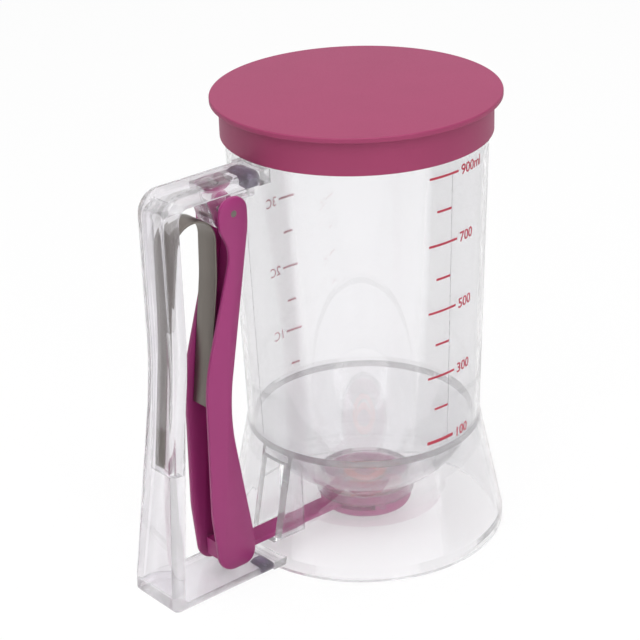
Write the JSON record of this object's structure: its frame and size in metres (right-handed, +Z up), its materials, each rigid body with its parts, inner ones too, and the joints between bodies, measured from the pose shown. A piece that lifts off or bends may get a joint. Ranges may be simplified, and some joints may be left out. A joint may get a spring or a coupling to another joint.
{
  "type": "pancake batter dispenser",
  "caption": "Clear graduated batter jar with a bowl bottom, push-on lid, flared skirt and C handle whose sprung trigger pulls a slide from under the outlet.",
  "frame": {"origin": "middle of the object's footprint, on the plane it stands on", "axes": "+Z up, the handle towards -X, the slide and trigger move in the XZ plane"},
  "size_m": [0.1688, 0.1154, 0.1875],
  "materials": {
    "clear_jar": "clear polished styrene",
    "clear_handle": "clear polished styrene",
    "lid_plastic": "satin moulded",
    "trigger_plastic": "satin moulded",
    "slide_plastic": "satin moulded",
    "cap_plastic": "satin moulded",
    "steel": "ground",
    "spring_steel": "rolled strip",
    "silicone": "soft"
  },
  "bodies": {
    "root": {"jar_body": "clear_jar", "handle": "clear_handle", "valve_cap": "cap_plastic", "outlet_seal": "silicone", "trigger_pin": "steel", "leaf_spring": "spring_steel"},
    "squeeze_trigger": {"trigger": "trigger_plastic"},
    "valve": {"valve_slide": "slide_plastic"},
    "cover": {"lid": "lid_plastic"}
  },
  "joints": [
    {"name": "trigger_hinge", "type": "hinge", "parent": "root", "child": "squeeze_trigger", "pos_m": [-0.04155, 0, 0.157], "axis": [0, 1, 0], "range_deg": [0, 6], "stiffness_Nm_per_rad": 1.5, "springref_deg": -2.86, "deforming": ["leaf_spring"]},
    {"name": "valve_travel", "type": "slide", "parent": "root", "child": "valve", "axis": [-1, 0, 0], "range_m": [0, 0.0151]},
    {"name": "lid_lift", "type": "slide", "parent": "root", "child": "cover", "axis": [0, 0, 1], "range_m": [0, 0.045]}
  ],
  "couplings": [
    {"joint": "valve_travel", "follows": "trigger_hinge", "m_per_rad": 0.14375}
  ]
}
